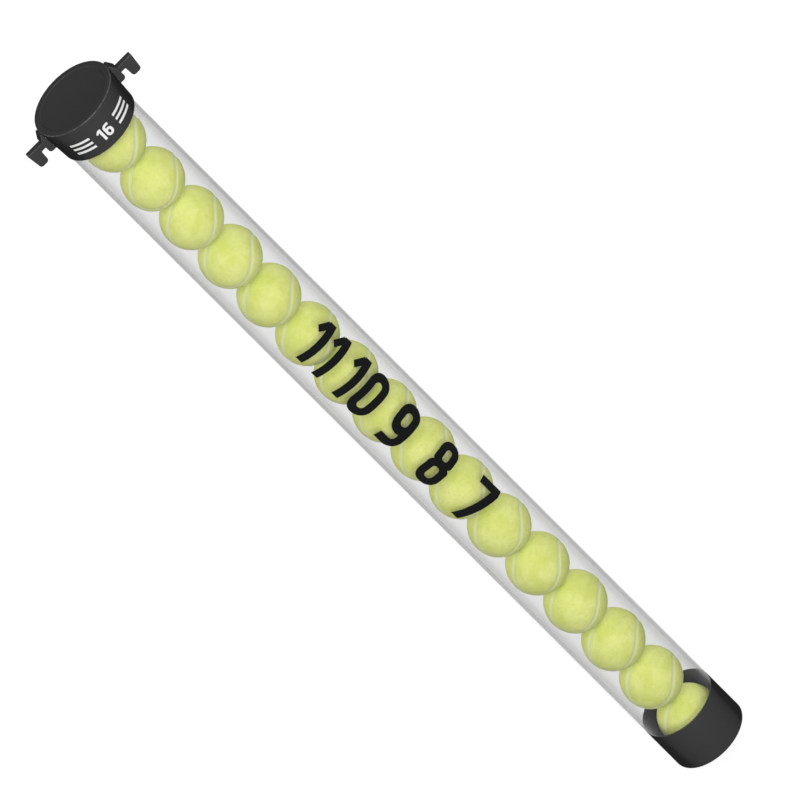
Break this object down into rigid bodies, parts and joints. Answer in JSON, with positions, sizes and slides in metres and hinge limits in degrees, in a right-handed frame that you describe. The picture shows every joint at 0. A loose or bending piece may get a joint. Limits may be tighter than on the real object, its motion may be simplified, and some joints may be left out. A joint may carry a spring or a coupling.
{
  "type": "tennis ball tube",
  "caption": "Clear tube holding a column of tennis balls, with a black mouth collar, sprung retaining fingers, a lift-off cap and hanging hooks.",
  "frame": {"origin": "centre of the mouth's foot, on the surface that the tube stands on", "axes": "+Z along the tube from the mouth to the cap; +X towards the right-hand hook seen from the front; the front faces -Y"},
  "size_m": [0.1488, 0.0966, 1.1164],
  "materials": {
    "clear_plastic": "gloss",
    "black_plastic": "satin",
    "black_nylon": "satin",
    "black_rubber": "matte",
    "rivet_steel": "satin",
    "ball_felt": "matte"
  },
  "bodies": {
    "tube": {"clear_tube": "clear_plastic", "mouth_collar": "black_plastic", "finger_ring": "black_nylon"},
    "cap": {"cap": "black_plastic", "cap_seal": "black_rubber", "hook_right": "black_plastic", "hook_left": "black_plastic", "hook_rivet_1": "rivet_steel", "hook_rivet_2": "rivet_steel", "hook_rivet_3": "rivet_steel", "hook_rivet_4": "rivet_steel"},
    "balls": {"ball_01": "ball_felt", "ball_02": "ball_felt", "ball_03": "ball_felt", "ball_04": "ball_felt", "ball_05": "ball_felt", "ball_06": "ball_felt", "ball_07": "ball_felt", "ball_08": "ball_felt", "ball_09": "ball_felt", "ball_10": "ball_felt", "ball_11": "ball_felt", "ball_12": "ball_felt", "ball_13": "ball_felt", "ball_14": "ball_felt", "ball_15": "ball_felt", "ball_16": "ball_felt"},
    "finger_1": {"finger_1": "black_nylon"},
    "finger_2": {"finger_2": "black_nylon"},
    "finger_3": {"finger_3": "black_nylon"},
    "finger_4": {"finger_4": "black_nylon"},
    "finger_5": {"finger_5": "black_nylon"},
    "finger_6": {"finger_6": "black_nylon"},
    "finger_7": {"finger_7": "black_nylon"},
    "finger_8": {"finger_8": "black_nylon"}
  },
  "joints": [
    {"name": "cap_lift", "type": "slide", "parent": "tube", "child": "cap", "axis": [0, 0, 1], "range_m": [0, 0.06]},
    {"name": "ball_column_slide", "type": "slide", "parent": "tube", "child": "balls", "axis": [0, 0, 1], "range_m": [0, 0.034]},
    {"name": "finger_1_flex", "type": "hinge", "parent": "tube", "child": "finger_1", "pos_m": [0.0386, 0, 0.0061], "axis": [0, 1, 0], "range_deg": [0, 32], "stiffness_Nm_per_rad": 0.05},
    {"name": "finger_2_flex", "type": "hinge", "parent": "tube", "child": "finger_2", "pos_m": [0.02729, 0.02729, 0.0061], "axis": [-0.7071, 0.7071, 0], "range_deg": [0, 32], "stiffness_Nm_per_rad": 0.05},
    {"name": "finger_3_flex", "type": "hinge", "parent": "tube", "child": "finger_3", "pos_m": [0, 0.0386, 0.0061], "axis": [-1, 0, 0], "range_deg": [0, 32], "stiffness_Nm_per_rad": 0.05},
    {"name": "finger_4_flex", "type": "hinge", "parent": "tube", "child": "finger_4", "pos_m": [-0.02729, 0.02729, 0.0061], "axis": [-0.7071, -0.7071, 0], "range_deg": [0, 32], "stiffness_Nm_per_rad": 0.05},
    {"name": "finger_5_flex", "type": "hinge", "parent": "tube", "child": "finger_5", "pos_m": [-0.0386, 0, 0.0061], "axis": [0, -1, 0], "range_deg": [0, 32], "stiffness_Nm_per_rad": 0.05},
    {"name": "finger_6_flex", "type": "hinge", "parent": "tube", "child": "finger_6", "pos_m": [-0.02729, -0.02729, 0.0061], "axis": [0.7071, -0.7071, 0], "range_deg": [0, 32], "stiffness_Nm_per_rad": 0.05},
    {"name": "finger_7_flex", "type": "hinge", "parent": "tube", "child": "finger_7", "pos_m": [0, -0.0386, 0.0061], "axis": [1, 0, 0], "range_deg": [0, 32], "stiffness_Nm_per_rad": 0.05},
    {"name": "finger_8_flex", "type": "hinge", "parent": "tube", "child": "finger_8", "pos_m": [0.02729, -0.02729, 0.0061], "axis": [0.7071, 0.7071, 0], "range_deg": [0, 32], "stiffness_Nm_per_rad": 0.05}
  ],
  "couplings": [
    {"joint": "finger_2_flex", "follows": "finger_1_flex", "ratio": 1},
    {"joint": "finger_3_flex", "follows": "finger_1_flex", "ratio": 1},
    {"joint": "finger_4_flex", "follows": "finger_1_flex", "ratio": 1},
    {"joint": "finger_5_flex", "follows": "finger_1_flex", "ratio": 1},
    {"joint": "finger_6_flex", "follows": "finger_1_flex", "ratio": 1},
    {"joint": "finger_7_flex", "follows": "finger_1_flex", "ratio": 1},
    {"joint": "finger_8_flex", "follows": "finger_1_flex", "ratio": 1}
  ]
}
